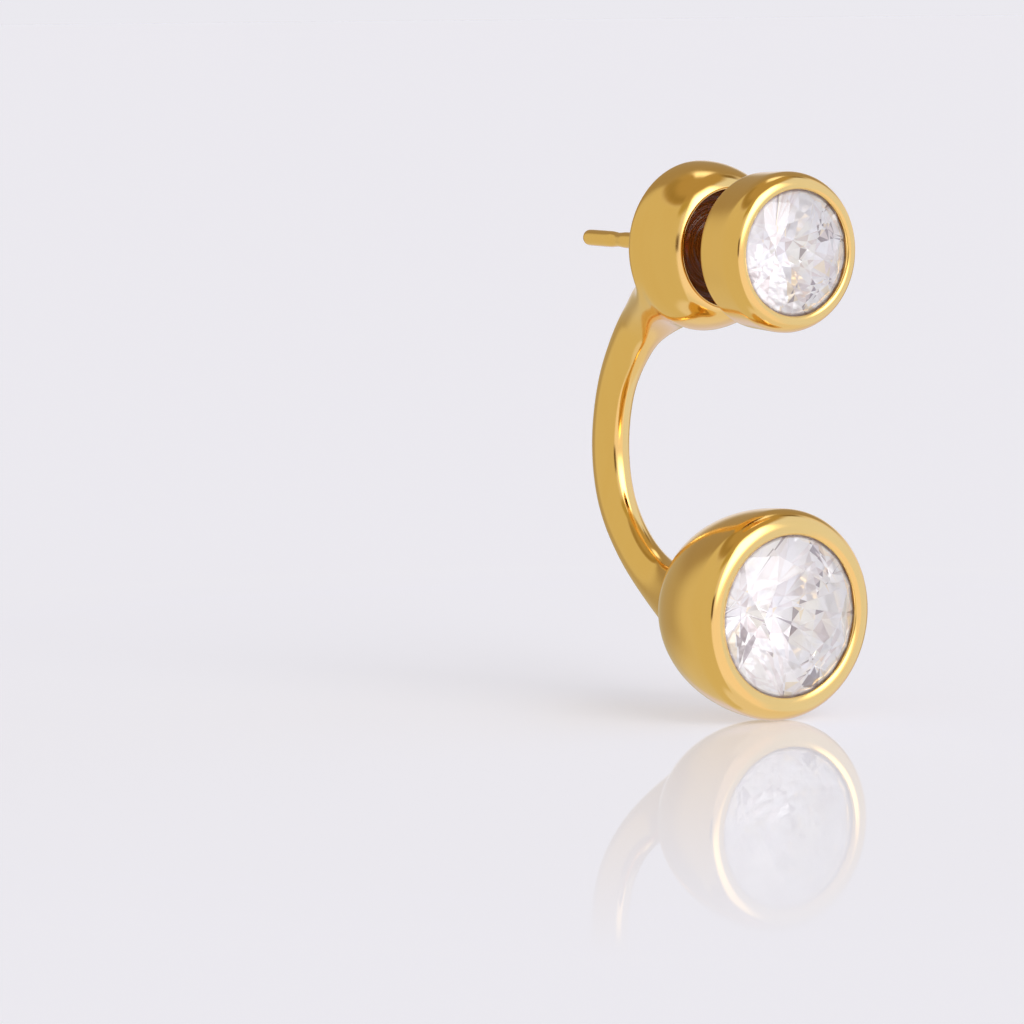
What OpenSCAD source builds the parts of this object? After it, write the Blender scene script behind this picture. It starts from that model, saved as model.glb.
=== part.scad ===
// Ear jacket earring: a round stone stud in a bezel cup, whose post carries a jacket behind the ear lobe.
// The jacket is one casting: a round button on the post, a curved arm and a larger bezel cup under the lobe.
// Millimetres. +Z is up, the stones face -Y and the post runs along +Y.
// The origin is on the post's axis at the back face of the stud, where the stud bears on the lobe.

/* [Stud] */
// Outer radius of the stud's bezel cup
stud_r = 3.83; // [3.6:0.01:4.2]
// Radius of the cup at its back face
stud_back_r = 3.74; // [3.5:0.01:4]
// Length of the cup from its back face to its front rim
stud_len = 2.9; // [2.8:0.05:4]
// Radius of the rim's crest, its most forward circle
stud_crest_r = 3.2; // [3.15:0.01:3.3]
// How far the rim's outer rounding runs back along the cup
stud_rim_depth = 0.95; // [0.5:0.05:1.4]
// Radius of the mouth that holds the stone in
stud_mouth_r = 3.0; // [2.95:0.01:3.03]
// Rounding of the edge between the cup's side and its back plate
stud_back_edge = 0.3; // [0.1:0.05:0.4]
// Thickness of the cup's back plate
stud_plate = 0.28; // [0.24:0.01:0.3]

/* [Post] */
// Radius of the post
post_r = 0.4; // [0.35:0.01:0.45]
// Length of the post behind the stud's back face
post_len = 14.3; // [12:0.1:16]
// Size of the solder fillet where the post meets the back plate
post_fillet = 0.3; // [0.1:0.05:0.6]
// Distance from the post's tip to the middle of its friction notch
notch_from_tip = 2.8; // [2.4:0.05:3.4]

/* [Stones] */
// Girdle radius of the stud's stone
stud_stone_r = 3.08; // [3.06:0.01:3.12]
// Girdle radius of the jacket's stone
jacket_stone_r = 4.0; // [3.98:0.01:4.05]
// Depth of each girdle behind the front rim
girdle_drop = 0.32; // [0.3:0.01:0.4]
// Clearance between a stone and its seat
stone_gap = 0.04; // [0.02:0.01:0.05]

/* [Button] */
// Outer radius of the button
button_r = 4.13; // [4:0.01:4.4]
// Distance of the button's front rim behind the stud's back face
button_front = 2.3; // [2:0.05:3]
// Thickness of the button from its front rim to its back
button_len = 3.75; // [3.6:0.05:4.2]
// Radius of the front rim's crest
button_crest_r = 2.97; // [2.9:0.01:3.1]
// Distance of the button's widest circle behind its front rim
button_dome_depth = 2.65; // [2.4:0.05:2.75]
// How far the dome's rounding reaches inwards from that circle
button_dome_reach = 1.5; // [1.3:0.05:2]
// Radius of the recess that holds the grip insert
recess_r = 2.8; // [2.6:0.01:2.85]
// Thickness of the wall behind the recess
button_wall = 0.75; // [0.6:0.05:1]
// Radius of the post's hole in that wall
post_hole_r = 0.55; // [0.5:0.01:0.7]

/* [Grip insert] */
// Thickness of the insert
insert_len = 1.7; // [1:0.05:2]
// Clearance between the insert and the recess
insert_gap = 0.04; // [0.02:0.01:0.06]
// Running clearance between the insert's bore and the post
post_gap = 0.03; // [0.02:0.01:0.06]

/* [Jacket cup] */
// Outer radius of the jacket's bezel cup
cup_r = 5.09; // [4.9:0.01:5.4]
// Length of the cup from its front rim to the tip of its rounded back
cup_len = 7.5; // [7:0.05:8]
// Distance of the cup's axis below the post's axis
cup_drop = 17.33; // [17:0.01:18]
// Distance of the cup's front rim in front of the stud's back face
cup_front = 2.56; // [2.3:0.01:2.8]
// Radius of the cup's rim crest
cup_crest_r = 4.26; // [4.15:0.01:4.4]
// How far the rim's outer rounding runs back along the cup
cup_rim_depth = 1.07; // [0.7:0.01:1.4]
// Radius of the mouth that holds the stone in
cup_mouth_r = 3.9; // [3.85:0.01:3.95]
// Fullness of the rounded back: 1 is a half ellipsoid and less is fuller
cup_fullness = 0.85; // [0.7:0.05:1]

/* [Arm] */
// Half width of the arm across the ear, at its middle
arm_half_w = 0.85; // [0.6:0.01:1.1]
// Half thickness of the arm in its plane, at its middle
arm_half_t = 1.06; // [0.8:0.01:1.3]

/* [Hidden] */

gold = [0.83, 0.65, 0.27];
clear_stone = [0.93, 0.93, 0.97];
silicone = [0.9, 0.9, 0.92];

// Proportions of a round brilliant as shares of its girdle radius
TABLE = 0.57;
GIRDLE = 0.04;
HALF_FACET_R = 0.8;
LOWER_FACET_R = 0.24;
stud_crown = 0.27;
stud_pavilion = 0.68;
jacket_crown = 0.29;
jacket_pavilion = 0.84;

// The stones' eight-fold symmetry
FOLD = 8;
STEP = 360 / FOLD;

// Small sizes of the settings
lip_thick = 0.12;
ledge_w = 0.45;
insert_edge = 0.12;
post_tip_len = 0.35;
notch_half_len = 0.32;
notch_depth = 0.06;
button_back_fullness = 0.9;
// Depth of a mouth's inner rounding as a share of its width
inner_rounding = 0.75;

// Fineness of the round shapes and of the arm
round_fn = 96;
arc_steps = 9;
arm_steps = 4;
arm_sides = 20;

button_back = button_front + button_len;
button_widest = button_front + button_dome_depth;
recess_mouth = button_front + button_crest_r - recess_r;
recess_floor = button_back - button_wall;
notch_y = post_len - notch_from_tip;

// Columns of arm_rows: distance behind the stud's back face, height, half width and half thickness.
// The rows run from the arm's root inside the button to its foot inside the jacket cup.
arm_rows = [
    [5.00, -2.05, 3.00, 1.70],
    [6.40, -2.30, 2.80, 1.62],
    [7.70, -2.85, 2.20, 1.46],
    [9.05, -3.68, 1.30, 1.31],
    [10.45, -5.06, 1.02, 1.14],
    [11.75, -7.30, arm_half_w + 0.02, arm_half_t],
    [12.24, -10.20, arm_half_w, arm_half_t],
    [11.70, -12.95, arm_half_w, arm_half_t],
    [10.10, -15.15, arm_half_w + 0.03, arm_half_t],
    [7.90, -cup_drop + 0.63, 1.04, 1.26],
    [5.60, -cup_drop - 0.07, 1.55, 1.95],
    [3.40, -cup_drop - 0.07, 2.10, 2.50],
];

// Quarter of an ellipse from p to q, as radius and distance along the axis, that leaves p radially
function from_flat(p, q) =
    [for (i = [0:arc_steps]) let (a = 90 * i / arc_steps)
        [p[0] + (q[0] - p[0]) * sin(a), p[1] + (q[1] - p[1]) * (1 - cos(a))]];

// The same quarter that leaves p along the axis
function from_side(p, q) =
    [for (i = [0:arc_steps]) let (a = 90 * i / arc_steps)
        [p[0] + (q[0] - p[0]) * (1 - cos(a)), p[1] + (q[1] - p[1]) * sin(a)]];

// Front of a dome from its mouth p back to its widest circle q, as an arc of an ellipse whose centre
// stands the given reach inside q
function dome_front(p, q, reach) =
    let (
        centre = q[0] - reach,
        start = asin((p[0] - centre) / reach),
        depth = (q[1] - p[1]) / cos(start)
    )
    [for (i = [0:arc_steps]) let (a = start + (90 - start) * i / arc_steps)
        [centre + reach * sin(a), q[1] - depth * cos(a)]];

// Rounded back from p on the side to the axis at q, fuller than an ellipse when fullness is under 1
function full_back(p, q, fullness) =
    [for (i = [0:2 * arc_steps]) let (a = 90 * i / (2 * arc_steps))
        [p[0] * pow(max(cos(a), 0), fullness), p[1] + (q[1] - p[1]) * sin(a)]];

// Revolves an outline of radius and distance behind the stud's back face
module revolve(points) {
    rotate([-90, 0, 0]) rotate_extrude($fn = round_fn) polygon(points);
}

// Room behind a front rim for a stone: a mouth, an undercut for the girdle, a ledge and a chamber
module stone_room(front, mouth_r, crest_r, stone_r, chamber_floor) {
    girdle_front = front + girdle_drop;
    girdle_back = girdle_front + GIRDLE * stone_r + stone_gap;
    lip_inner = crest_r - mouth_r;
    revolve(concat(
        [[0, front - lip_inner], [crest_r, front - lip_inner]],
        from_flat([crest_r, front], [mouth_r, front + inner_rounding * lip_inner]),
        [
            [mouth_r, girdle_front - lip_thick],
            [stone_r + stone_gap, girdle_front - lip_thick],
            [stone_r + stone_gap, girdle_back],
            [stone_r - ledge_w, girdle_back + ledge_w],
            [stone_r - ledge_w, chamber_floor],
            [0, chamber_floor]
        ]
    ));
}

// Bezel cup of the stud with its back plate and post, soldered into one solid
module stud_setting() {
    color(gold) difference() {
        revolve(concat(
            [[0, -stud_len]],
            from_flat([stud_crest_r, -stud_len], [stud_r, -stud_len + stud_rim_depth]),
            from_side([stud_back_r, -stud_back_edge], [stud_back_r - stud_back_edge, 0]),
            from_flat([post_r + post_fillet, 0], [post_r, post_fillet]),
            [
                [post_r, notch_y - notch_half_len],
                [post_r - notch_depth, notch_y],
                [post_r, notch_y + notch_half_len],
                [post_r, post_len - post_tip_len]
            ],
            from_side([post_r, post_len - post_tip_len], [0, post_len])
        ));
        stone_room(-stud_len, stud_mouth_r, stud_crest_r, stud_stone_r, -stud_plate);
    }
}

// Round brilliant with its girdle's front edge at the given distance, facing -Y
module brilliant(r, crown, pavilion) {
    table_r = TABLE * r;
    half_r = HALF_FACET_R * r;
    lower_r = LOWER_FACET_R * r;
    thick = GIRDLE * r;
    slope = cos(STEP / 2);
    half_y = -crown * r * (r - half_r * slope) / (r - table_r);
    lower_y = thick + pavilion * r * (1 - lower_r * slope / r);
    ring = [for (k = [0:FOLD - 1]) k];
    rim = [for (k = [0:2 * FOLD - 1]) k];
    table_at = 0;
    half_at = FOLD;
    front_at = 2 * FOLD;
    back_at = 4 * FOLD;
    lower_at = 6 * FOLD;
    culet = 7 * FOLD;
    next = function (k) (k + 1) % FOLD;
    wrap = function (k) k % (2 * FOLD);
    points = concat(
        [for (k = ring) [table_r * cos(k * STEP), -crown * r, table_r * sin(k * STEP)]],
        [for (k = ring) [half_r * cos((k + 0.5) * STEP), half_y, half_r * sin((k + 0.5) * STEP)]],
        [for (k = rim) [r * cos(k * STEP / 2), 0, r * sin(k * STEP / 2)]],
        [for (k = rim) [r * cos(k * STEP / 2), thick, r * sin(k * STEP / 2)]],
        [for (k = ring) [lower_r * cos((k + 0.5) * STEP), lower_y, lower_r * sin((k + 0.5) * STEP)]],
        [[0, thick + pavilion * r, 0]]
    );
    table = [[for (k = ring) table_at + k]];
    stars = [for (k = ring) [table_at + k, half_at + k, table_at + next(k)]];
    kites = [for (k = ring)
        [table_at + next(k), half_at + k, front_at + wrap(2 * k + 2), half_at + next(k)]];
    upper_a = [for (k = ring) [half_at + k, front_at + 2 * k, front_at + 2 * k + 1]];
    upper_b = [for (k = ring) [half_at + k, front_at + 2 * k + 1, front_at + wrap(2 * k + 2)]];
    girdle = [for (k = rim) [front_at + k, back_at + k, back_at + wrap(k + 1), front_at + wrap(k + 1)]];
    lower_a = [for (k = ring) [lower_at + k, back_at + 2 * k + 1, back_at + 2 * k]];
    lower_b = [for (k = ring) [lower_at + k, back_at + wrap(2 * k + 2), back_at + 2 * k + 1]];
    mains = [for (k = ring)
        [culet, lower_at + next(k), back_at + wrap(2 * k + 2), lower_at + k]];
    polyhedron(points, concat(table, stars, kites, upper_a, upper_b, girdle, lower_a, lower_b, mains));
}

// Stone of the stud
module stud_stone() {
    color(clear_stone) translate([0, girdle_drop - stud_len, 0])
        brilliant(stud_stone_r, stud_crown, stud_pavilion);
}

// Stone of the jacket's cup
module jacket_stone() {
    color(clear_stone) translate([0, girdle_drop - cup_front, -cup_drop])
        brilliant(jacket_stone_r, jacket_crown, jacket_pavilion);
}

// Round button before its recess is cut: a thin rounded lip, a domed front and a rounded back
module button_body() {
    revolve(concat(
        [[0, recess_mouth]],
        from_side([recess_r, recess_mouth], [button_crest_r, button_front]),
        dome_front([button_crest_r, button_front], [button_r, button_widest], button_dome_reach),
        full_back([button_r, button_widest], [0, button_back], button_back_fullness)
    ));
}

// Point of the curve through four neighbouring rows, with u from 0 to 1 between the middle two
function smooth_row(a, b, c, d, u) =
    0.5 * (2 * b + (c - a) * u + (2 * a - 5 * b + 4 * c - d) * u * u + (3 * b - a - 3 * c + d) * u * u * u);

last_row = len(arm_rows) - 1;

arm_path = [for (i = [0:last_row - 1]) for (k = [0:arm_steps - (i < last_row - 1 ? 1 : 0)])
    smooth_row(arm_rows[max(i - 1, 0)], arm_rows[i], arm_rows[i + 1], arm_rows[min(i + 2, last_row)],
        k / arm_steps)];

// Oval ring of the arm at step i of its path, square to the path
function arm_ring(i) =
    let (
        here = arm_path[i],
        ahead = arm_path[min(i + 1, len(arm_path) - 1)],
        behind = arm_path[max(i - 1, 0)],
        run = [ahead[0] - behind[0], ahead[1] - behind[1]],
        side = [-run[1], run[0]] / norm(run)
    )
    [for (k = [0:arm_sides - 1]) let (a = 360 * k / arm_sides)
        [here[2] * cos(a), here[0] + here[3] * sin(a) * side[0], here[1] + here[3] * sin(a) * side[1]]];

// Curved arm as one smooth skin that starts inside the button and ends inside the cup
module arm() {
    rings = len(arm_path);
    points = [for (i = [0:rings - 1]) for (p = arm_ring(i)) p];
    skin = [for (i = [0:rings - 2]) for (k = [0:arm_sides - 1])
        let (a = i * arm_sides + k, b = i * arm_sides + (k + 1) % arm_sides)
        [a, b, b + arm_sides, a + arm_sides]];
    root = [[for (k = [arm_sides - 1:-1:0]) k]];
    foot = [[for (k = [0:arm_sides - 1]) (rings - 1) * arm_sides + k]];
    polyhedron(points, concat(root, skin, foot));
}

// Jacket cup before its stone's room is cut: rounded rim and an egg-shaped back
module cup_body() {
    front = -cup_front;
    translate([0, 0, -cup_drop]) revolve(concat(
        [[0, front]],
        from_flat([cup_crest_r, front], [cup_r, front + cup_rim_depth]),
        full_back([cup_r, front + cup_rim_depth], [0, front + cup_len], cup_fullness)
    ));
}

// The jacket's casting: button, arm and cup in one solid, with the recess, the post's hole and the
// stone's room cut into it
module jacket_frame() {
    chamber = -cup_front + girdle_drop + (GIRDLE + jacket_pavilion) * jacket_stone_r + 2 * stone_gap;
    color(gold) difference() {
        union() {
            button_body();
            arm();
            cup_body();
        }
        revolve([[0, 0], [recess_r, 0], [recess_r, recess_floor], [0, recess_floor]]);
        revolve([[0, 0], [post_hole_r, 0], [post_hole_r, post_len], [0, post_len]]);
        translate([0, 0, -cup_drop])
            stone_room(-cup_front, cup_mouth_r, cup_crest_r, jacket_stone_r, chamber);
    }
}

// Soft pad seated in the recess, whose bore grips the post
module grip_insert() {
    front = recess_floor - insert_gap - insert_len;
    color(silicone) difference() {
        revolve([
            [0, front], [recess_r - insert_gap - insert_edge, front],
            [recess_r - insert_gap, front + insert_edge],
            [recess_r - insert_gap, front + insert_len], [0, front + insert_len]
        ]);
        revolve([[0, 0], [post_r + post_gap, 0], [post_r + post_gap, post_len], [0, post_len]]);
    }
}

stud_setting();
stud_stone();
jacket_frame();
jacket_stone();
grip_insert();
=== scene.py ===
"""Looks of the ear jacket earring: polished gold castings, two brilliants and a soft grip insert.

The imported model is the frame. It has +Z up, +Y back through the ear lobe and its origin on the post's
axis at the back of the stud. Sizes in the classes below are millimetres in that frame; meshes are metres.
"""

import logging
import math
import random
from dataclasses import dataclass, field
from enum import Enum
from typing import Iterable, NamedTuple, Sequence

import bmesh
import bpy
from mathutils import Matrix, Vector


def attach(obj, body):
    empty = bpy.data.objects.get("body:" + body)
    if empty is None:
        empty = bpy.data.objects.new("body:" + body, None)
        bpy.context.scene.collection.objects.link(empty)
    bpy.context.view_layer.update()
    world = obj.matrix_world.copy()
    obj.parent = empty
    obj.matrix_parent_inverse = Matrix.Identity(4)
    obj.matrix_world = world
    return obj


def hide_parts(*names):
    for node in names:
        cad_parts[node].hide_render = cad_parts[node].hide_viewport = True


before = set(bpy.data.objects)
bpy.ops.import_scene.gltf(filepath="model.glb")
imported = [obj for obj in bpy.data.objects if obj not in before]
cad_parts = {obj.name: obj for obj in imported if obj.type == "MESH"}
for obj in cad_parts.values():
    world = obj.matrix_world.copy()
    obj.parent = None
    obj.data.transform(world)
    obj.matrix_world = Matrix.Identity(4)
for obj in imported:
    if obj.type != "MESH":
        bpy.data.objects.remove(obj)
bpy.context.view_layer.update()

MM = 0.001
# A distance too small to see, in metres
HAIR = 1e-6
# Height of the fine bump on the gold and the insert, in metres
RELIEF = 0.00002
# The face attribute that picks a facet's painted flash colour
TINT = "facet_tint"
LOG = logging.getLogger("ear_jacket")

Colour = tuple[float, float, float]
Point = tuple[float, float]
Mesh = bmesh.types.BMesh
Material = bpy.types.Material
Socket = bpy.types.NodeSocket


class Slot(Enum):
    """The record's material slots."""

    GOLD = "polished_gold"
    STONE = "clear_stone"
    INSERT = "clear_silicone"


class Body(Enum):
    """The bodies that pieces ride on."""

    STUD = "stud"
    INSERT = "insert"
    JACKET = "jacket"


def limit_scale(sides: int) -> float:
    """Returns how far a ring is drawn out so that its subdivided surface has the true radius.

    Args:
        sides: The number of vertices in the ring.

    Returns:
        The factor on the ring's radius.
    """
    return 3 / (2 + math.cos(2 * math.pi / sides))


def from_flat(start: Point, end: Point, steps: int) -> list[Point]:
    """Returns a quarter of an ellipse that leaves its start radially.

    Args:
        start: Radius and distance along the axis of the first point.
        end: Radius and distance of the last point.
        steps: How many equal steps of angle there are.

    Returns:
        The points, both ends included.
    """
    angles = [math.pi / 2 * i / steps for i in range(steps + 1)]
    return [
        (start[0] + (end[0] - start[0]) * math.sin(a), start[1] + (end[1] - start[1]) * (1 - math.cos(a)))
        for a in angles
    ]


def from_side(start: Point, end: Point, steps: int) -> list[Point]:
    """Returns the same quarter, leaving its start along the axis."""
    return from_flat(end, start, steps)[::-1]


def dome_front(mouth: Point, widest: Point, reach: float, steps: int) -> list[Point]:
    """Returns the front of a dome, as an arc of an ellipse whose centre stands inside its widest circle.

    Args:
        mouth: Radius and distance along the axis of the mouth.
        widest: Radius and distance of the widest circle.
        reach: How far the ellipse's centre stands inside the widest circle.
        steps: How many equal steps of angle there are.

    Returns:
        The points from the mouth back to the widest circle.
    """
    centre = widest[0] - reach
    start = math.asin((mouth[0] - centre) / reach)
    depth = (widest[1] - mouth[1]) / math.cos(start)
    turns = [start + (math.pi / 2 - start) * i / steps for i in range(steps + 1)]
    return [(centre + reach * math.sin(a), widest[1] - depth * math.cos(a)) for a in turns]


def full_back(side: Point, back: float, fullness: float, angles: Iterable[float]) -> list[Point]:
    """Returns points of a rounded back that is fuller than an ellipse when fullness is under 1.

    Args:
        side: Radius and distance where the rounding starts.
        back: Distance of the back's middle along the axis.
        fullness: The exponent of the rounding.
        angles: The points' angles in degrees, from 0 at the side to 90 in the middle.

    Returns:
        The points from the side inwards.
    """
    turns = [math.radians(a) for a in angles]
    return [(side[0] * math.cos(a) ** fullness, side[1] + (back - side[1]) * math.sin(a)) for a in turns]


def curve_value(p: float, q: float, r: float, t: float, u: float) -> float:
    """Returns a value on the smooth Catmull-Rom curve through four values.

    Args:
        p: The value before the stretch.
        q: The value at its start.
        r: The value at its end.
        t: The value after it.
        u: The share of the way from q to r.

    Returns:
        The value there.
    """
    squared = 2 * p - 5 * q + 4 * r - t
    cubed = 3 * q - p - 3 * r + t
    return 0.5 * (2 * q + (r - p) * u + squared * u * u + cubed * u**3)


def spin_outline(bm: Mesh, outline: Sequence[Point], height: float, sides: int, closed: bool) -> None:
    """Turns an outline about a line along Y into a surface.

    Args:
        bm: The mesh that gets the surface.
        outline: Radius and distance along Y of each point, in mm.
        height: Z of the axis, in mm.
        sides: How many steps the turn has.
        closed: Whether the last point joins the first one.
    """
    drawn = limit_scale(sides)
    verts = [bm.verts.new((0, y * MM, (height - r * drawn) * MM)) for r, y in outline]
    edges = [bm.edges.new(pair) for pair in zip(verts, verts[1:])]
    if closed:
        edges.append(bm.edges.new((verts[-1], verts[0])))
    bmesh.ops.spin(
        bm,
        geom=verts + edges,
        cent=(0, 0, height * MM),
        axis=(0, 1, 0),
        angle=2 * math.pi,
        steps=sides,
        use_merge=True,
        use_duplicate=False,
    )
    bmesh.ops.remove_doubles(bm, verts=bm.verts, dist=HAIR)


def boundary_loop(bm: Mesh, near: Vector) -> list[bmesh.types.BMEdge]:
    """Returns the open loop of edges whose middle lies nearest to a point.

    Args:
        bm: The mesh.
        near: A point close to the loop, in metres.

    Returns:
        The loop's edges.
    """
    open_edges = {e for e in bm.edges if e.is_boundary}
    loops = []
    while open_edges:
        loop, reach = set(), [open_edges.pop()]
        while reach:
            edge = reach.pop()
            loop.add(edge)
            for vert in edge.verts:
                for other in vert.link_edges:
                    if other in open_edges:
                        open_edges.discard(other)
                        reach.append(other)
        loops.append(loop)

    def distance(loop: set[bmesh.types.BMEdge]) -> float:
        """Returns how far the middle of a loop is from the point."""
        verts = {v for e in loop for v in e.verts}
        return (sum((v.co for v in verts), Vector()) / len(verts) - near).length

    return list(min(loops, key=distance))


def finish_piece(bm: Mesh, name: str, material: Material, levels: int) -> bpy.types.Object:
    """Makes an object of a finished mesh, with its normals outwards.

    Args:
        bm: The mesh, which is freed.
        name: The piece's name.
        material: Its material.
        levels: The level of its Subdivision Surface, or 0 where its faces stay flat.

    Returns:
        The new object, at the origin.
    """
    bmesh.ops.recalc_face_normals(bm, faces=bm.faces)
    for face in bm.faces:
        face.smooth = levels > 0
    mesh = bpy.data.meshes.new(name)
    bm.to_mesh(mesh)
    bm.free()
    piece = bpy.data.objects.new(name, mesh)
    bpy.context.scene.collection.objects.link(piece)
    mesh.materials.append(material)
    if levels:
        rounding = piece.modifiers.new("rounding", "SUBSURF")
        rounding.levels = levels
        rounding.render_levels = levels
    return piece


def place(piece: bpy.types.Object, body: Body, node: str) -> None:
    """Puts a piece on its body in place of its node, and reports it.

    Args:
        piece: The finished piece.
        body: The body that it rides on.
        node: The node that it stands for.
    """
    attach(piece, body.value)
    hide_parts(node)
    LOG.info("%s: %d faces on %s", piece.name, len(piece.data.polygons), body.value)


class Shader:
    """A small wrapper that makes and joins the nodes of one shader tree."""

    def __init__(self, tree: bpy.types.NodeTree) -> None:
        """Starts from an empty tree."""
        self.tree = tree
        tree.nodes.clear()

    def add(self, kind: str, settings: dict | None = None, **inputs: object) -> bpy.types.Node:
        """Adds a node.

        Args:
            kind: The node's type, without the ShaderNode that it begins with.
            settings: Attributes to set on it.
            inputs: Values or sockets for its inputs, by the input's name with _ for a space, or by _ and
                the input's number where names repeat.

        Returns:
            The node.
        """
        node = self.tree.nodes.new("ShaderNode" + kind)
        for name, value in (settings or {}).items():
            setattr(node, name, value)
        for name, value in inputs.items():
            key = int(name[1:]) if name[1:].isdigit() else name.replace("_", " ")
            if isinstance(value, Socket):
                self.tree.links.new(value, node.inputs[key])
            else:
                node.inputs[key].default_value = value
        return node

    def object_place(self) -> Socket:
        """Returns the Object coordinates."""
        return self.add("TexCoord").outputs["Object"]


def start_material(name: str) -> tuple[Material, Shader]:
    """Makes an empty node material.

    Args:
        name: The material's name.

    Returns:
        The material, and the wrapper of its tree.
    """
    made = bpy.data.materials.new(name)
    made.use_nodes = True
    return made, Shader(made.node_tree)


@dataclass(frozen=True)
class GoldPlate:
    """Warm yellow gold plate, polished, with the faint lines and haze that buffing leaves."""

    name: str = "gold_plate"
    colour: Colour = (0.955, 0.655, 0.245)
    deep: Colour = (0.90, 0.575, 0.175)
    polish: float = 0.08
    haze: float = 0.16
    cloud_scale: float = 260.0
    line_scale: float = 1400.0
    line_stretch: float = 0.08
    ripple: float = 0.03

    def material(self) -> Material:
        """Makes the plate's material.

        Returns:
            The material.
        """
        made, s = start_material(self.name)
        where = s.object_place()
        cloud = s.add("TexNoise", Vector=where, Scale=self.cloud_scale, Detail=3.0, Roughness=0.5)
        along = self.line_scale * self.line_stretch
        buff = s.add("Mapping", Vector=where, Scale=(along, self.line_scale, along))
        lines = s.add("TexNoise", Vector=buff.outputs["Vector"], Scale=2.0, Detail=4.0, Roughness=0.6)
        buffed = lines.outputs["Fac"]
        share = s.add("Mix", {"data_type": "FLOAT"}, _0=0.5, _2=cloud.outputs["Fac"], _3=buffed)
        tint = s.add(
            "Mix",
            {"data_type": "RGBA"},
            Factor=share.outputs[0],
            A=(*self.deep, 1),
            B=(*self.colour, 1),
        )
        rough = s.add(
            "MapRange",
            Value=buffed,
            From_Min=0.35,
            From_Max=0.7,
            To_Min=self.polish,
            To_Max=self.haze,
        )
        bump = s.add("Bump", Height=buffed, Strength=self.ripple, Distance=RELIEF)
        shader = s.add(
            "BsdfPrincipled",
            Base_Color=tint.outputs["Result"],
            Metallic=1.0,
            Roughness=rough.outputs["Result"],
            Normal=bump.outputs["Normal"],
        )
        s.add("OutputMaterial", Surface=shader.outputs["BSDF"])
        return made


@dataclass(frozen=True)
class ClearStone:
    """Colourless cubic zirconia, with a breath of lavender and a thin ring of painted shade along the
    bezel's lip.

    mouth_r is the lip's radius and height its middle's Z, in mm.
    """

    name: str
    mouth_r: float
    height: float
    colour: Colour = (0.985, 0.98, 1.0)
    index: float = 1.68
    veil_scale: float = 900.0
    veil: float = 0.03
    # The ring of painted shade beside the lip, standing for the lip's shadow: its colour, inset, soft edge
    # and strength
    lip_shade_colour: Colour = (0.20, 0.11, 0.06)
    lip_shade: float = 0.11
    lip_shade_softness: float = 0.05
    lip_shade_depth: float = 0.7

    def _lip_shade_mask(self, s: Shader, where: Socket) -> Socket:
        """Returns a mask that rises to the painted shade's depth in the narrow ring beside the lip.

        Args:
            s: The material's tree.
            where: The Object coordinates.

        Returns:
            The mask's socket.
        """
        middle = (0, 0, -self.height * MM)
        centred = s.add("Mapping", Vector=where, Location=middle, Scale=(1, 0, 1))
        away = s.add("VectorMath", {"operation": "LENGTH"}, _0=centred.outputs["Vector"])
        ring = s.add(
            "MapRange",
            Value=away.outputs["Value"],
            From_Min=(self.mouth_r - self.lip_shade - self.lip_shade_softness) * MM,
            From_Max=(self.mouth_r - self.lip_shade + self.lip_shade_softness) * MM,
            To_Max=self.lip_shade_depth,
        )
        return ring.outputs["Result"]

    def material(self) -> Material:
        """Makes the stone's material.

        Returns:
            The material.
        """
        made, s = start_material(self.name)
        where = s.object_place()
        veil = s.add("TexNoise", Vector=where, Scale=self.veil_scale, Detail=2.0)
        rough = s.add("MapRange", Value=veil.outputs["Fac"], From_Min=0.5, From_Max=0.9, To_Max=self.veil)
        shader = s.add(
            "BsdfPrincipled",
            Base_Color=(*self.colour, 1),
            Roughness=rough.outputs["Result"],
            IOR=self.index,
            Transmission_Weight=1.0,
        )
        # Painted shade: this dark brown shader, mixed in by the ring mask, stands in for the shadow under
        # the bezel's lip
        lip_shade = s.add("BsdfPrincipled", Base_Color=(*self.lip_shade_colour, 1), Roughness=0.4)
        mask = self._lip_shade_mask(s, where)
        both = s.add("MixShader", _0=mask, _1=shader.outputs["BSDF"], _2=lip_shade.outputs["BSDF"])
        s.add("OutputMaterial", Surface=both.outputs["Shader"])
        return made


@dataclass(frozen=True)
class SilverFoil:
    """Silvery backing of a stone's pavilion, part mirror and part satin, with a painted flash colour for
    each facet and a faint painted glow.

    The painted flash tints give the lowest value of the facet's attribute at which each tint holds, and the
    tint.
    """

    name: str = "silver_foil"
    # Painted sparkle: the pale, peach and dark grey tints stand in for the stone's flashes, fire and dark
    # reflections
    painted_flash_tints: tuple[tuple[float, Colour], ...] = (
        (0.0, (0.98, 0.97, 0.97)),
        (0.32, (0.90, 0.86, 0.86)),
        (0.54, (0.95, 0.945, 0.965)),
        (0.73, (0.80, 0.73, 0.73)),
        (0.87, (0.96, 0.86, 0.70)),
        (0.93, (0.46, 0.41, 0.43)),
    )
    mirror: float = 0.3
    roughness: float = 0.05
    # Strength of the backing's painted glow, which lifts its dark facets
    painted_glow: float = 0.16

    def material(self) -> Material:
        """Makes the backing's material.

        Returns:
            The material.
        """
        made, s = start_material(self.name)
        facet = s.add("Attribute", {"attribute_name": TINT})
        # Each facet's random value picks its painted flash colour
        ramp = s.add("ValToRGB", Fac=facet.outputs["Fac"])
        ramp.color_ramp.interpolation = "CONSTANT"
        marks = ramp.color_ramp.elements
        while len(marks) < len(self.painted_flash_tints):
            marks.new(1.0)
        for mark, (position, colour) in zip(marks, self.painted_flash_tints):
            mark.position = position
            mark.color = (*colour, 1)
        shader = s.add(
            "BsdfPrincipled",
            Base_Color=ramp.outputs["Color"],
            Metallic=self.mirror,
            Roughness=self.roughness,
            # Painted light: the backing glows faintly in its own tint though it is no lamp
            Emission_Color=ramp.outputs["Color"],
            Emission_Strength=self.painted_glow,
        )
        s.add("OutputMaterial", Surface=shader.outputs["BSDF"])
        return made


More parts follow.
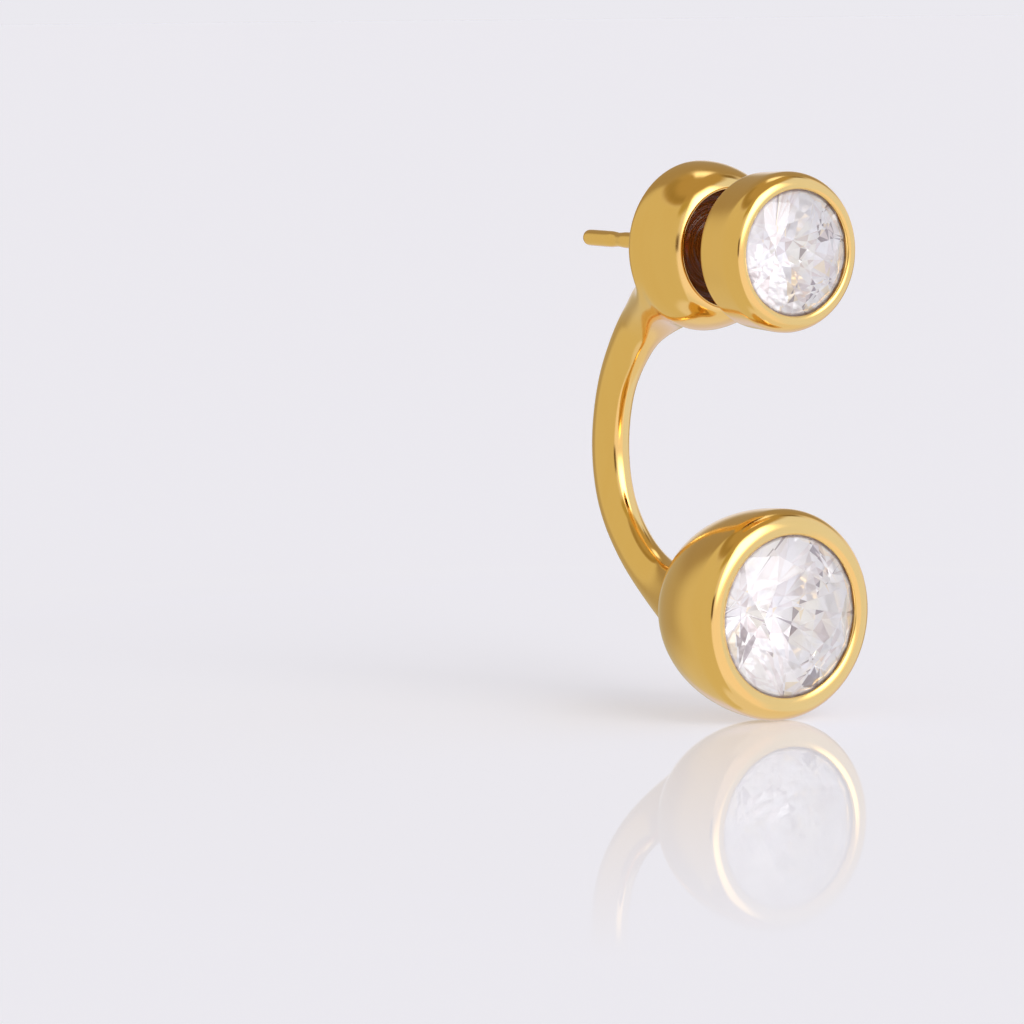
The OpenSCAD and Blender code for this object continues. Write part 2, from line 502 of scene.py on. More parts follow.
@dataclass(frozen=True)
class ClearSilicone:
    """Half clear satin silicone, dark amber with painted shade and painted gold reflection of its recess.
    """

    name: str = "clear_silicone"
    # Painted shade and painted reflection: dark amber stands in for the shaded, gold-lit recess round the
    # clear pad
    colour: Colour = (0.33, 0.09, 0.013)
    shine: float = 0.15
    roughness: float = 0.14
    index: float = 1.41
    clearness: float = 0.6
    grain_scale: float = 4000.0

    def material(self) -> Material:
        """Makes the insert's material.

        Returns:
            The material.
        """
        made, s = start_material(self.name)
        grain = s.add("TexNoise", Vector=s.object_place(), Scale=self.grain_scale, Detail=3.0)
        bump = s.add("Bump", Height=grain.outputs["Fac"], Strength=0.1, Distance=RELIEF)
        shader = s.add(
            "BsdfPrincipled",
            Base_Color=(*self.colour, 1),
            Roughness=self.roughness,
            IOR=self.index,
            Specular_IOR_Level=self.shine,
            Transmission_Weight=self.clearness,
            Normal=bump.outputs["Normal"],
        )
        s.add("OutputMaterial", Surface=shader.outputs["BSDF"])
        return made


@dataclass
class Mouth:
    """The front of a bezel: its rounded rim and the stone's seat behind it, turned about a line along Y.

    Fields are millimetres. front is where the rim's crest stands along Y, and height is the line's Z.
    girdle is a share of the stone's radius, and floor_ring, which keeps the floor flat, of the floor's.
    """

    front: float
    outer_r: float
    crest_r: float
    mouth_r: float
    rim_depth: float
    stone_r: float
    chamber_floor: float
    height: float = 0.0
    girdle_drop: float = 0.32
    lip: float = 0.12
    lip_rounding: float = 0.17
    gap: float = 0.04
    ledge: float = 0.45
    girdle: float = 0.04
    corner: float = 0.03
    floor_ring: float = 0.6

    def inside(self) -> list[Point]:
        """Gives the outline from the chamber's middle out to the rim's crest.

        Returns:
            The points, the crest left out.
        """
        girdle_front = self.front + self.girdle_drop
        girdle_back = girdle_front + self.girdle * self.stone_r + self.gap
        seat_r = self.stone_r - self.ledge
        wall_r = self.stone_r + self.gap
        under = girdle_front - self.lip
        c = self.corner
        lip_end = (self.mouth_r, self.front + self.lip_rounding - c)
        round_lip = from_side(lip_end, (self.crest_r, self.front), steps=5)
        return [
            (0, self.chamber_floor),
            (seat_r * self.floor_ring, self.chamber_floor),
            (seat_r - 2 * c, self.chamber_floor),
            (seat_r, self.chamber_floor - 2 * c),
            (seat_r, girdle_back + self.ledge + c),
            (seat_r + c, girdle_back + self.ledge - c),
            (wall_r - c, girdle_back + c),
            (wall_r, girdle_back - c),
            (wall_r, under + c),
            (wall_r - c, under),
            (self.mouth_r + c, under),
            (self.mouth_r, under - c),
            *round_lip[:-1],
        ]

    def rim(self) -> list[Point]:
        """Returns the outline from the rim's crest out to the cup's side."""
        return from_flat((self.crest_r, self.front), (self.outer_r, self.front + self.rim_depth), steps=8)


@dataclass
class StudBezel:
    """The stud's bezel cup with its back plate and post, one turned and soldered piece.

    side_swell is how far the side stands out three back edges before the back. plate_rings are the rings
    that keep the back flat, as shares of its radius.
    """

    finish: Material
    sides: int = 48
    mouth: Mouth = field(
        default_factory=lambda: Mouth(
            front=-2.9,
            outer_r=3.83,
            crest_r=3.2,
            mouth_r=3.0,
            rim_depth=0.95,
            stone_r=3.08,
            chamber_floor=-0.28,
        )
    )
    back_r: float = 3.74
    back_edge: float = 0.3
    side_swell: float = 0.03
    plate_rings: Point = (0.75, 0.4)
    fillet: float = 0.3
    post_r: float = 0.4
    post_end: float = 14.3
    post_rings: int = 5
    tip: float = 0.35
    notch_y: float = 11.5
    notch_half_len: float = 0.5
    notch_depth: float = 0.05
    notch_edge: float = 0.06

    def outline(self) -> list[Point]:
        """Gives the half section from the chamber's middle, over the rim, to the post's tip.

        Returns:
            The points.
        """
        plate_r = self.back_r - self.back_edge
        shank = self.post_end - self.tip
        before_notch = self.notch_y - self.notch_half_len
        after_notch = self.notch_y + self.notch_half_len
        bare = before_notch - self.fillet
        edge, rings = self.notch_edge, self.post_rings
        return [
            *self.mouth.inside(),
            *self.mouth.rim(),
            (self.back_r + self.side_swell, -3 * self.back_edge),
            *from_side((self.back_r, -self.back_edge), (plate_r, 0), steps=5),
            *((plate_r * share, 0) for share in self.plate_rings),
            *from_flat((self.post_r + self.fillet, 0), (self.post_r, self.fillet), steps=4),
            *((self.post_r, self.fillet + bare * k / rings) for k in range(1, rings)),
            (self.post_r, before_notch - edge),
            (self.post_r - edge / 4, before_notch + edge),
            (self.post_r - self.notch_depth, self.notch_y - edge),
            (self.post_r - self.notch_depth, self.notch_y + edge),
            (self.post_r - edge / 4, after_notch - edge),
            (self.post_r, after_notch + edge),
            (self.post_r, (after_notch + shank) / 2),
            *from_side((self.post_r, shank), (0, self.post_end), steps=5),
        ]

    def build(self) -> bpy.types.Object:
        """Builds and places the piece.

        Returns:
            The piece.
        """
        bm = bmesh.new()
        spin_outline(bm, self.outline(), self.mouth.height, self.sides, closed=False)
        piece = finish_piece(bm, "stud_bezel", self.finish, levels=2)
        place(piece, Body.STUD, "stud_setting")
        return piece


class ArmRow(NamedTuple):
    """One section of the arm: its place along Y and Z, its half width in X and its half thickness."""

    depth: float
    height: float
    half_width: float
    half_thickness: float


@dataclass
class JacketCasting:
    """The jacket's casting: button, arm and bezel cup in one closed skin, with cast fillets.

    Angles are degrees. window_middle is Y and Z of a point in the button's window, and opening_y is Y of
    one in the cup's open back. The turns place the rings of a rounded back, from 0 at its side to 90.
    """

    finish: Material
    sides: int = 36
    button_sides: int = 32
    mouth: Mouth = field(
        default_factory=lambda: Mouth(
            front=-2.56,
            outer_r=5.09,
            crest_r=4.26,
            mouth_r=3.9,
            rim_depth=1.07,
            stone_r=4.0,
            chamber_floor=1.36,
            height=-17.33,
        )
    )
    cup_len: float = 7.5
    cup_fullness: float = 0.85
    cup_turns: tuple[float, ...] = (8, 16, 24, 32, 40, 48, 55)
    opening_y: float = 3.6
    button_r: float = 4.13
    button_front: float = 2.3
    button_crest_r: float = 2.97
    button_widest: float = 4.95
    button_dome_reach: float = 1.5
    button_back: float = 6.05
    button_fullness: float = 0.9
    button_turns: tuple[float, ...] = (9, 22, 38, 56, 73, 82)
    button_corner: float = 0.06
    recess_r: float = 2.8
    recess_floor: float = 5.3
    hole_r: float = 0.55
    window_front: float = 4.55
    window_turn: float = 68.0
    window_r: float = 1.2
    window_middle: Point = (5.8, -2.6)
    fillet_cuts: int = 4
    fillet_passes: int = 14
    root_blend: int = 4
    sections_a_row: int = 3
    rows: tuple[ArmRow, ...] = (
        ArmRow(7.60, -2.78, 2.30, 1.50),
        ArmRow(9.05, -3.68, 1.30, 1.31),
        ArmRow(10.45, -5.06, 1.02, 1.14),
        ArmRow(11.75, -7.30, 0.87, 1.06),
        ArmRow(12.24, -10.20, 0.85, 1.06),
        ArmRow(11.70, -12.95, 0.85, 1.06),
        ArmRow(10.10, -15.15, 0.88, 1.06),
        ArmRow(7.90, -16.70, 1.04, 1.26),
        ArmRow(5.60, -17.40, 1.55, 1.95),
    )

    def button_outline(self) -> list[Point]:
        """Gives the button's closed half section: front, side, back, hole, recess and mouth.

        Returns:
            The points.
        """
        mouth_y = self.button_front + self.button_crest_r - self.recess_r
        side = (self.button_r, self.button_widest)
        soft = self.button_corner
        crest = (self.button_crest_r, self.button_front)
        return [
            *dome_front(crest, side, self.button_dome_reach, steps=8),
            *full_back(side, self.button_back, self.button_fullness, self.button_turns),
            (self.hole_r + 2 * soft, self.button_back),
            (self.hole_r + soft / 2, self.button_back - soft / 2),
            (self.hole_r, self.button_back - 2 * soft),
            (self.hole_r, self.recess_floor + soft),
            (self.hole_r + soft, self.recess_floor),
            (self.recess_r - 2 * soft, self.recess_floor),
            (self.recess_r, self.recess_floor - 2 * soft),
            (self.recess_r, (self.recess_floor + mouth_y) / 2),
            *from_side((self.recess_r, mouth_y), crest, steps=4)[:-1],
        ]

    def cup_outline(self) -> list[Point]:
        """Gives the cup's half section, from its chamber's middle round the rim to its open back.

        Returns:
            The points.
        """
        side = (self.mouth.outer_r, self.mouth.front + self.mouth.rim_depth)
        back = self.mouth.front + self.cup_len
        return [
            *self.mouth.inside(),
            *self.mouth.rim(),
            *full_back(side, back, self.cup_fullness, self.cup_turns),
        ]

    def path(self) -> list[ArmRow]:
        """Gives the arm's sections along a smooth curve through its rows.

        Returns:
            The sections from the button to the cup.
        """
        last = len(self.rows) - 1
        made = []
        for i in range(last):
            four = [self.rows[min(max(i + k, 0), last)] for k in (-1, 0, 1, 2)]
            for k in range(self.sections_a_row):
                u = k / self.sections_a_row
                made.append(ArmRow(*(curve_value(*column, u) for column in zip(*four))))
        return made + [self.rows[last]]

    def section_matrix(self, path: Sequence[ArmRow], i: int) -> Matrix:
        """Gives the transform that turns a unit circle into one section of the arm.

        Args:
            path: The arm's sections.
            i: The section's place in the path.

        Returns:
            The transform, in metres.
        """
        here, ahead, behind = path[i], path[min(i + 1, len(path) - 1)], path[max(i - 1, 0)]
        run = Vector((ahead.depth - behind.depth, ahead.height - behind.height)).normalized()
        drawn = limit_scale(self.sides) * MM
        width, thickness = here.half_width * drawn, here.half_thickness * drawn
        return Matrix(
            (
                (width, 0, 0, 0),
                (0, -run.y * thickness, run.x * MM, here.depth * MM),
                (0, run.x * thickness, run.y * MM, here.height * MM),
                (0, 0, 0, 1),
            )
        )

    def _draw_arm(self, bm: Mesh) -> None:
        """Draws a ring out along the arm's path, section by section.

        Args:
            bm: The mesh that gets the arm.
        """
        path = self.path()
        made = bmesh.ops.create_circle(bm, cap_ends=False, segments=self.sides, radius=1)
        verts = made["verts"]
        ring = list({e for v in verts for e in v.link_edges})
        before = self.section_matrix(path, 0)
        bmesh.ops.transform(bm, matrix=before, verts=verts)
        for i in range(1, len(path)):
            after = self.section_matrix(path, i)
            out = bmesh.ops.extrude_edge_only(bm, edges=ring)["geom"]
            verts = [g for g in out if isinstance(g, bmesh.types.BMVert)]
            edges = [g for g in out if isinstance(g, bmesh.types.BMEdge)]
            ring = [e for e in edges if all(v in verts for v in e.verts)]
            bmesh.ops.transform(bm, matrix=after @ before.inverted(), verts=verts)
            before = after

    def _open_button(self, bm: Mesh) -> None:
        """Cuts the window in the button's lower back that the arm grows out of.

        Args:
            bm: The mesh, which holds the button alone so far.
        """
        window = []
        for face in bm.faces:
            c = face.calc_center_median() / MM
            turn = math.degrees(math.atan2(abs(c.x), -c.z))
            radius = math.hypot(c.x, c.z)
            if c.y > self.window_front and turn < self.window_turn and radius > self.window_r:
                window.append(face)
        bmesh.ops.delete(bm, geom=window, context="FACES")

    def _join(self, bm: Mesh, hole: Point, end: ArmRow, blend: int) -> None:
        """Bridges an open hole and an end of the arm with a fillet that leaves both surfaces smoothly.

        Args:
            bm: The mesh.
            hole: Y and Z of a point in the hole, in mm.
            end: The arm's section at that end.
            blend: How many of the arm's rings are smoothed with the fillet.
        """
        one = boundary_loop(bm, Vector((0, *hole)) * MM)
        two = boundary_loop(bm, Vector((0, end.depth, end.height)) * MM)
        LOG.info("joining loops of %d and %d edges", len(one), len(two))
        sides = [{v for e in loop for v in e.verts} for loop in (one, two)]
        bmesh.ops.bridge_loops(bm, edges=one + two, use_pairs=False, use_cyclic=False, use_merge=False)
        across = [e for v in sides[0] for e in v.link_edges if e.other_vert(v) in sides[1]]
        before = set(bm.verts)
        bmesh.ops.subdivide_edgering(
            bm,
            edges=across,
            interp_mode="SURFACE",
            smooth=1.0,
            cuts=self.fillet_cuts,
            profile_shape="SMOOTH",
        )
        fillet = {v for v in bm.verts if v not in before}
        for _ in range(blend):
            fillet |= {e.other_vert(v) for v in fillet for e in v.link_edges} - sides[0]
        soft = [v for v in bm.verts if v in fillet]
        for _ in range(self.fillet_passes):
            bmesh.ops.smooth_vert(
                bm, verts=soft, factor=0.5, use_axis_x=True, use_axis_y=True, use_axis_z=True
            )

    def build(self) -> bpy.types.Object:
        """Builds and places the piece.

        Returns:
            The piece.
        """
        bm = bmesh.new()
        spin_outline(bm, self.button_outline(), 0, self.button_sides, closed=True)
        self._open_button(bm)
        spin_outline(bm, self.cup_outline(), self.mouth.height, self.sides, closed=False)
        self._draw_arm(bm)
        self._join(bm, self.window_middle, self.rows[0], blend=self.root_blend)
        self._join(bm, (self.opening_y, self.mouth.height), self.rows[-1], blend=0)
        piece = finish_piece(bm, "jacket_casting", self.finish, levels=2)
        place(piece, Body.JACKET, "jacket_frame")
        return piece


@dataclass
class RoundBrilliant:
    """A round brilliant, cut facet by facet from a blank as a lapidary does, and set in a bezel's mouth.

    Sizes are shares of the girdle's radius, which stands at Y = 0 while the stone is cut, and turn is in
    degrees. splits planes break up the pavilion, tilt shifts its corners, and snap is how near to a cut a
    corner counts as lying on it.
    """

    name: str
    node: str
    body: Body
    seat: Mouth
    finish: Material
    backing: Material
    crown: float
    pavilion: float
    turn: float = 0.0
    table: float = 0.57
    half: float = 0.8
    lower: float = 0.24
    fold: int = 8
    girdle_sides: int = 96
    spare: float = 0.1
    snap: float = 1e-7
    splits: int = 11
    split_play: float = 0.4
    split_lean: float = 0.5
    split_reach: float = 0.75
    tilt: float = 0.022
    seed: int = 5

    def _point(self, share: float, turn: float, depth: float) -> Vector:
        """Returns a point at a share of the radius, a turn in degrees and a depth behind the girdle."""
        a = math.radians(turn)
        return Vector((share * math.cos(a), depth, share * math.sin(a)))

    def _blank(self, bm: Mesh) -> None:
        """Makes the round blank, which stands a little past the stone at both ends.

        Args:
            bm: The mesh that gets the blank.
        """
        top = -self.crown - self.spare
        bottom = self.seat.girdle + self.pavilion + self.spare
        lie_back = Matrix.Rotation(math.radians(90), 4, "X")
        bmesh.ops.create_cone(
            bm,
            cap_ends=True,
            segments=self.girdle_sides,
            radius1=1,
            radius2=1,
            depth=bottom - top,
            matrix=Matrix.Translation((0, (top + bottom) / 2, 0)) @ lie_back,
        )

    def _facets(self) -> list[Sequence[Vector]]:
        """Gives three points of each facet, in the order of cutting.

        Returns:
            The table's points, and then those of the crown's and the pavilion's facets, turn by turn.
        """
        step = 360 / self.fold
        slope = math.cos(math.radians(step / 2))
        half_y = -self.crown * (1 - self.half * slope) / (1 - self.table)
        lower_y = self.seat.girdle + self.pavilion * (1 - self.lower * slope)
        culet = Vector((0, self.seat.girdle + self.pavilion, 0))
        facets = [[self._point(self.table, turn, -self.crown) for turn in (0, 90, 180)]]
        for k in range(self.fold):
            here, middle, after = k * step, (k + 0.5) * step, (k + 1) * step
            corner, next_corner = (self._point(self.table, t, -self.crown) for t in (here, after))
            break_point = self._point(self.half, middle, half_y)
            rim = [self._point(1, t, 0) for t in (here, middle, after)]
            back = [self._point(1, t, self.seat.girdle) for t in (here, middle, after)]
            low, next_low = (self._point(self.lower, t, lower_y) for t in (middle, middle + step))
            facets += [
                (corner, break_point, next_corner),
                (next_corner, break_point, rim[2]),
                (break_point, rim[0], rim[1]),
                (break_point, rim[1], rim[2]),
                (low, back[0], back[1]),
                (low, back[1], back[2]),
                (culet, back[2], next_low),
            ]
        return facets

    def _cut(self, bm: Mesh, points: Sequence[Vector]) -> None:
        """Cuts one facet through three points and closes it, keeping the side with the stone's middle.

        Args:
            bm: The stone so far.
            points: The three points.
        """
        normal = (points[1] - points[0]).cross(points[2] - points[0]).normalized()
        middle = Vector((0, self.seat.girdle / 2, 0))
        if normal.dot(middle - points[0]) > 0:
            normal.negate()
        geom = bm.verts[:] + bm.edges[:] + bm.faces[:]
        out = bmesh.ops.bisect_plane(
            bm,
            geom=geom,
            dist=self.snap,
            plane_co=points[0],
            plane_no=normal,
            clear_outer=True,
            clear_inner=False,
        )
        rim = [e for e in out["geom_cut"] if isinstance(e, bmesh.types.BMEdge) and e.is_boundary]
        if rim:
            bmesh.ops.contextual_create(bm, geom=rim)

    def _break_up(self, bm: Mesh, girdle_back: float, draw: random.Random) -> None:
        """Splits the pavilion into small facets, each tilted a little, for the stone's scintillation.

        Args:
            bm: The stone in its place, in metres.
            girdle_back: Y of the girdle's back edge, in metres.
            draw: The source of the random cuts and tilts.
        """
        behind = girdle_back + HAIR
        radius = self.seat.stone_r
        middle = Vector((0, girdle_back, self.seat.height * MM))
        for k in range(self.splits):
            a = math.pi * (k + draw.uniform(-self.split_play, self.split_play)) / self.splits
            across = Vector((math.cos(a), draw.uniform(-self.split_lean, self.split_lean), math.sin(a)))
            shift = draw.uniform(-self.split_reach, self.split_reach)
            off = Vector((math.cos(a), 0, math.sin(a))) * shift * radius * MM
            faces = [f for f in bm.faces if f.calc_center_median().y > behind]
            edges = {e for f in faces for e in f.edges}
            verts = {v for f in faces for v in f.verts}
            bmesh.ops.bisect_plane(
                bm, geom=[*verts, *edges, *faces], dist=HAIR, plane_co=middle + off, plane_no=across
            )
        for vert in [v for v in bm.verts if v.co.y > behind]:
            vert.co.y -= draw.uniform(0, self.tilt) * radius * MM
        facets = [f for f in bm.faces if any(v.co.y > behind for v in f.verts)]
        bmesh.ops.triangulate(bm, faces=facets)

    def build(self) -> bpy.types.Object:
        """Builds and places the piece.

        Returns:
            The piece.
        """
        bm = bmesh.new()
        self._blank(bm)
        for facet in self._facets():
            self._cut(bm, facet)
        radius, front = self.seat.stone_r, self.seat.front + self.seat.girdle_drop
        middle = Matrix.Translation((0, front * MM, self.seat.height * MM))
        spin = Matrix.Rotation(math.radians(self.turn), 4, "Y")
        bmesh.ops.transform(bm, matrix=middle @ spin @ Matrix.Scale(radius * MM, 4), verts=bm.verts)
        girdle_back = (front + self.seat.girdle * radius) * MM
        draw = random.Random(self.seed)
        self._break_up(bm, girdle_back, draw)
        tint = bm.faces.layers.float.new(TINT)
        for face in bm.faces:
            face.material_index = int(face.calc_center_median().y > girdle_back)
            face[tint] = draw.random()
        piece = finish_piece(bm, self.name, self.finish, levels=0)
        piece.data.materials.append(self.backing)
        place(piece, self.body, self.node)
        return piece


@dataclass
class GripInsert:
    """The soft pad in the button's recess, with rings moulded into its face.

    ring_shape is one ring's section, as shares of the rings' pitch and of their depth.
    """

    finish: Material
    sides: int = 48
    radius: float = 2.76
    front: float = 3.56
    back: float = 5.26
    bore_r: float = 0.43
    edge: float = 0.14
    rings: int = 4
    ring_depth: float = 0.13
    ring_shape: tuple[Point, ...] = ((0.15, 0.0), (0.4, 1.0), (0.6, 1.0), (0.85, 0.0))

    def face(self) -> list[Point]:
        """Gives the face's ridges and grooves, from beside the bore to beside the rim.

        Returns:
            The points.
        """
        start, end = self.bore_r + 2 * self.edge, self.radius - 2 * self.edge
        pitch = (end - start) / self.rings
        return [
            (start + (k + share) * pitch, self.front + level * self.ring_depth)
            for k in range(self.rings)
            for share, level in self.ring_shape
        ]

    def outline(self) -> list[Point]:
        """Gives the pad's closed half section.

        Returns:
            The points.
        """
        r, e = self.radius, self.edge
        return [
            (self.bore_r, self.back - e),
            (self.bore_r, self.front + e),
            *from_flat((self.bore_r + e, self.front), (self.bore_r, self.front + e), steps=4)[::-1],
            *self.face(),
            *from_flat((r - e, self.front), (r, self.front + e), steps=4),
            (r, self.back - e),
            (r - e, self.back),
            (self.bore_r + e, self.back),
        ]

    def build(self) -> bpy.types.Object:
        """Builds and places the piece.

        Returns:
            The piece.
        """
        bm = bmesh.new()
        spin_outline(bm, self.outline(), 0, self.sides, closed=True)
        piece = finish_piece(bm, "grip_pad", self.finish, levels=1)
        place(piece, Body.INSERT, "grip_insert")
        return piece


@dataclass
class PhotoCamera:
    """The camera at the photograph's angle, framed as the photograph is.

    Angles are degrees, and the clip's ends are metres. right and up are how far the earring's origin stands
    from the picture's middle, in mm.
    """

    azimuth: float = -34.73
    elevation: float = 5.90
    focal_px: float = 5500.0
    px_per_mm: float = 21.0
    frame_px: float = 1024.0
    sensor: float = 36.0
    right: float = 11.855
    up: float = 12.467
    clip_start: float = 0.01
    clip_end: float = 10.0

    def build(self) -> bpy.types.Object:
        """Builds the camera and makes it the scene's.

        Returns:
            The camera.
        """
        a, e = math.radians(self.azimuth), math.radians(self.elevation)
        back = Vector((math.sin(a) * math.cos(e), -math.cos(a) * math.cos(e), math.sin(e)))
        across = Vector((math.cos(a), math.sin(a), 0))
        upward = across.cross(-back)
        data = bpy.data.cameras.new("camera")
        data.sensor_width = self.sensor
        data.lens = self.focal_px / self.frame_px * self.sensor
        data.clip_start = self.clip_start
        data.clip_end = self.clip_end
        camera = bpy.data.objects.new("camera", data)
        distance = self.focal_px / self.px_per_mm
        camera.location = (back * distance - across * self.right - upward * self.up) * MM
        camera.rotation_mode = "QUATERNION"
        camera.rotation_quaternion = (-back).to_track_quat("-Z", "Y")
        bpy.context.scene.collection.objects.link(camera)
        bpy.context.scene.camera = camera
        return camera


class Panel(NamedTuple):
    """A soft panel of the light tent, seen from the earring in one direction.

    Angles are degrees: azimuth 0 is -Y and 90 is +X. A half_width of 180 goes all the way round.
    """

    name: str
    azimuth: float
    elevation: float
    half_width: float
    half_height: float
    softness: float
    colour: Colour
    strength: float = 1.0


@dataclass
class Studio:
    """The light tent round the earring and the glossy floor under it.

    A panel lies over those before it. The floor's gloss fades from mirror_start to mirror_end, in mm.
    """

    floor_z: float
    floor_size: float = 4000.0
    floor_colour: Colour = (0.64, 0.644, 0.70)
    floor_glow: Colour = (0.288, 0.300, 0.362)
    floor_index: float = 1.45
    floor_roughness: float = 0.015
    mirror_near: float = 0.84
    mirror_start: float = 4.0
    mirror_end: float = 64.0
    backdrop: Colour = (0.831, 0.819, 0.863)
    panels: tuple[Panel, ...] = (
        Panel("front table", 0.0, -25.0, 44.0, 28.0, 10.0, (1.0, 0.95, 1.05)),
        Panel("rear table", 134.0, -32.0, 32.0, 18.0, 6.0, (0.74, 0.71, 0.85)),
        Panel("rear edge", 150.0, -10.0, 46.0, 7.0, 5.0, (0.54, 0.48, 0.34)),
        Panel("left wall", -118.0, -9.0, 82.0, 62.0, 5.0, (0.692, 0.643, 0.465)),
        Panel("left corner", 179.0, 12.0, 21.0, 32.0, 10.0, (0.48, 0.42, 0.28)),
        Panel("ceiling", 0.0, 74.0, 180.0, 21.0, 3.5, (0.48, 0.375, 0.19)),
        Panel("ceiling edge", -115.0, 61.0, 62.0, 4.0, 7.0, (0.36, 0.275, 0.12)),
        Panel("gap by the softbox", -37.0, 47.0, 17.0, 9.0, 5.0, (0.48, 0.40, 0.16)),
        Panel("right wall", 62.0, 6.0, 30.0, 50.0, 6.0, (0.83, 0.92, 1.18)),
        Panel("rear shade", 150.0, 36.0, 46.0, 22.0, 7.0, (0.40, 0.33, 0.22)),
        Panel("dark gap", 95.0, 51.0, 9.0, 7.0, 5.0, (0.25, 0.19, 0.09)),
        Panel("softbox", 6.0, 32.0, 22.0, 24.0, 10.0, (1.0, 0.995, 0.99), 3.9),
        Panel("rear strip", 136.0, 66.0, 17.0, 7.0, 6.0, (1.0, 1.0, 1.0), 1.5),
        Panel("dark lens", -34.7, 4.0, 6.0, 8.0, 3.0, (0.12, 0.075, 0.04)),
    )

    def _tent(self) -> None:
        """Makes the world from the tent's even light and its panels."""
        world = bpy.data.worlds.new("tent")
        bpy.context.scene.world = world
        world.use_nodes = True
        s = Shader(world.node_tree)
        direction = s.add("TexCoord").outputs["Generated"]
        height = s.add("SeparateXYZ", Vector=direction).outputs["Z"]
        elevation = s.add("Math", {"operation": "ARCSINE"}, _0=height).outputs["Value"]
        flat = s.add("VectorMath", {"operation": "MULTIPLY"}, _0=direction, _1=(1, 1, 0))
        heading = s.add("VectorMath", {"operation": "NORMALIZE"}, _0=flat.outputs["Vector"])
        colour = s.add("RGB").outputs["Color"]
        colour.default_value = (*self.backdrop, 1)
        for panel in self.panels:
            colour = self._hang(s, heading.outputs["Vector"], elevation, colour, panel)
        light = s.add("Background", Color=colour, Strength=1.0)
        plain = s.add("Background", Color=(*self.backdrop, 1), Strength=1.0)
        seen = s.add("LightPath").outputs["Is Camera Ray"]
        both = s.add("MixShader", _0=seen, _1=light.outputs["Background"], _2=plain.outputs["Background"])
        s.add("OutputWorld", Surface=both.outputs["Shader"])

    def _inside(self, s: Shader, off: Socket, half: float, softness: float) -> Socket:
        """Makes a mask that is 1 while an angle stays under a half size and falls off softly.

        Args:
            s: The world's tree.
            off: The angle from the panel's middle, in radians.
            half: The half size in degrees.
            softness: Half the width of the falling edge in degrees.

        Returns:
            The mask's socket.
        """
        edge = s.add(
            "MapRange",
            {"interpolation_type": "SMOOTHSTEP"},
            Value=off,
            From_Min=math.radians(max(half - softness, 0)),
            From_Max=math.radians(half + softness),
            To_Min=1.0,
            To_Max=0.0,
        )
        return edge.outputs["Result"]

    def _hang(self, s: Shader, heading: Socket, elevation: Socket, under: Socket, panel: Panel) -> Socket:
        """Lays one panel over the tent's colour.

        Args:
            s: The world's tree.
            heading: The level unit vector in the direction looked in.
            elevation: The angle of that direction above the floor, in radians.
            under: The colour so far.
            panel: The panel.

        Returns:
            The socket with the new colour.
        """
        a = math.radians(panel.azimuth)
        middle = (math.sin(a), -math.cos(a), 0)
        raised = math.radians(panel.elevation)
        along = s.add("VectorMath", {"operation": "DOT_PRODUCT"}, _0=heading, _1=middle)
        turn = s.add("Math", {"operation": "ARCCOSINE"}, _0=along.outputs["Value"])
        above = s.add("Math", {"operation": "SUBTRACT"}, _0=elevation, _1=raised)
        climb = s.add("Math", {"operation": "ABSOLUTE"}, _0=above.outputs["Value"])
        mask = self._inside(s, climb.outputs["Value"], panel.half_height, panel.softness)
        if panel.half_width < 180:
            across = self._inside(s, turn.outputs["Value"], panel.half_width, panel.softness)
            mask = s.add("Math", {"operation": "MULTIPLY"}, _0=mask, _1=across).outputs["Value"]
        lit = tuple(c * panel.strength for c in panel.colour)
        laid = {"data_type": "RGBA", "label": panel.name}
        return s.add("Mix", laid, _0=mask, _6=under, _7=(*lit, 1)).outputs[2]

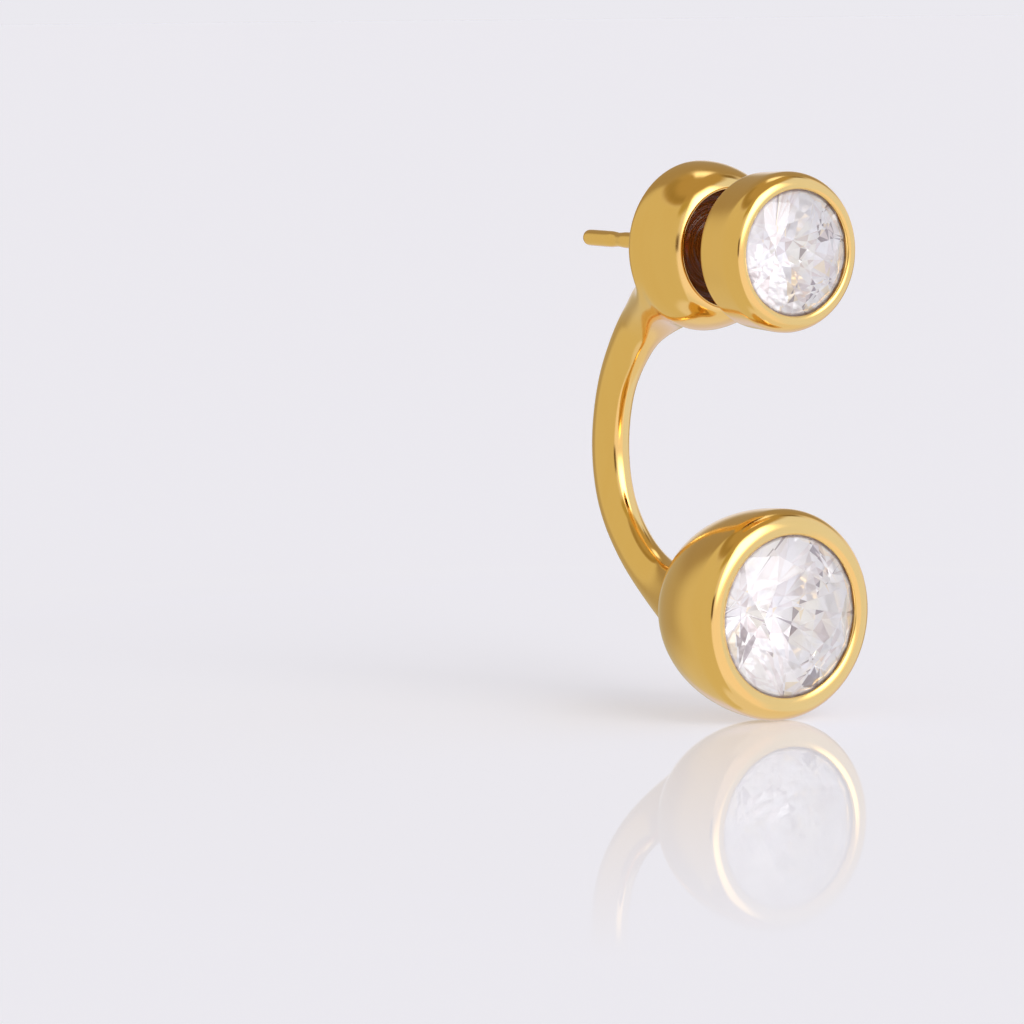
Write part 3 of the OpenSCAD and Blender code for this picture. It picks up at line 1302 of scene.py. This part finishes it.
    def _floor_material(self) -> Material:
        """Makes the floor's pale acrylic, which only the camera sees.

        Its gloss is strongest under the earring and fades out with the distance from it.

        Returns:
            The material.
        """
        made, s = start_material("pale_acrylic")
        flat = s.add("VectorMath", {"operation": "MULTIPLY"}, _0=s.object_place(), _1=(1, 1, 0))
        away = s.add("VectorMath", {"operation": "LENGTH"}, _0=flat.outputs["Vector"])
        fade = s.add(
            "MapRange",
            Value=away.outputs["Value"],
            From_Min=self.mirror_start * MM,
            From_Max=self.mirror_end * MM,
            To_Min=self.mirror_near,
            To_Max=0.0,
        )
        fresnel = s.add("Fresnel", IOR=self.floor_index).outputs["Fac"]
        share = s.add("Math", {"operation": "MULTIPLY"}, _0=fade.outputs["Result"], _1=fresnel)
        matt = s.add("BsdfDiffuse", Color=(*self.floor_colour, 1))
        glow = s.add("Emission", Color=(*self.floor_glow, 1), Strength=1.0)
        sheet = s.add("AddShader", _0=matt.outputs["BSDF"], _1=glow.outputs["Emission"])
        gloss = s.add("BsdfGlossy", Color=(1, 1, 1, 1), Roughness=self.floor_roughness)
        mirror = share.outputs["Value"]
        both = s.add("MixShader", _0=mirror, _1=sheet.outputs["Shader"], _2=gloss.outputs["BSDF"])
        seen = s.add("LightPath").outputs["Is Camera Ray"]
        clear = s.add("BsdfTransparent").outputs["BSDF"]
        shown = s.add("MixShader", _0=seen, _1=clear, _2=both.outputs["Shader"])
        s.add("OutputMaterial", Surface=shown.outputs["Shader"])
        return made

    def _floor(self) -> None:
        """Lays the pale lit floor at the cup's lowest point.

        The earring itself reflects the tent's panels below the horizon in its place.
        """
        bm = bmesh.new()
        bmesh.ops.create_grid(bm, x_segments=1, y_segments=1, size=self.floor_size / 2 * MM)
        bmesh.ops.translate(bm, verts=bm.verts, vec=(0, 0, self.floor_z * MM))
        mesh = bpy.data.meshes.new("floor")
        bm.to_mesh(mesh)
        bm.free()
        floor = bpy.data.objects.new("floor", mesh)
        bpy.context.scene.collection.objects.link(floor)
        mesh.materials.append(self._floor_material())

    def build(self) -> None:
        """Makes the tent and the floor, and keeps the photograph's plain colour response."""
        bpy.context.scene.view_settings.view_transform = "Standard"
        self._tent()
        self._floor()


def main() -> None:
    """Builds the scene piece by piece."""
    logging.basicConfig(level=logging.INFO, format="%(name)s: %(message)s")
    PhotoCamera().build()
    gold = GoldPlate().material()
    foil = SilverFoil().material()
    stud = StudBezel(gold)
    stud.build()
    RoundBrilliant(
        name="stud_brilliant",
        node="stud_stone",
        body=Body.STUD,
        seat=stud.mouth,
        finish=ClearStone("small_zirconia", stud.mouth.mouth_r, stud.mouth.height).material(),
        backing=foil,
        crown=0.27,
        pavilion=0.68,
        turn=8,
    ).build()
    jacket = JacketCasting(gold)
    jacket.build()
    RoundBrilliant(
        name="jacket_brilliant",
        node="jacket_stone",
        body=Body.JACKET,
        seat=jacket.mouth,
        finish=ClearStone("large_zirconia", jacket.mouth.mouth_r, jacket.mouth.height).material(),
        backing=foil,
        crown=0.29,
        pavilion=0.84,
        turn=3,
    ).build()
    GripInsert(ClearSilicone().material()).build()
    Studio(floor_z=jacket.mouth.height - jacket.mouth.outer_r).build()


if __name__ == "__main__":
    main()
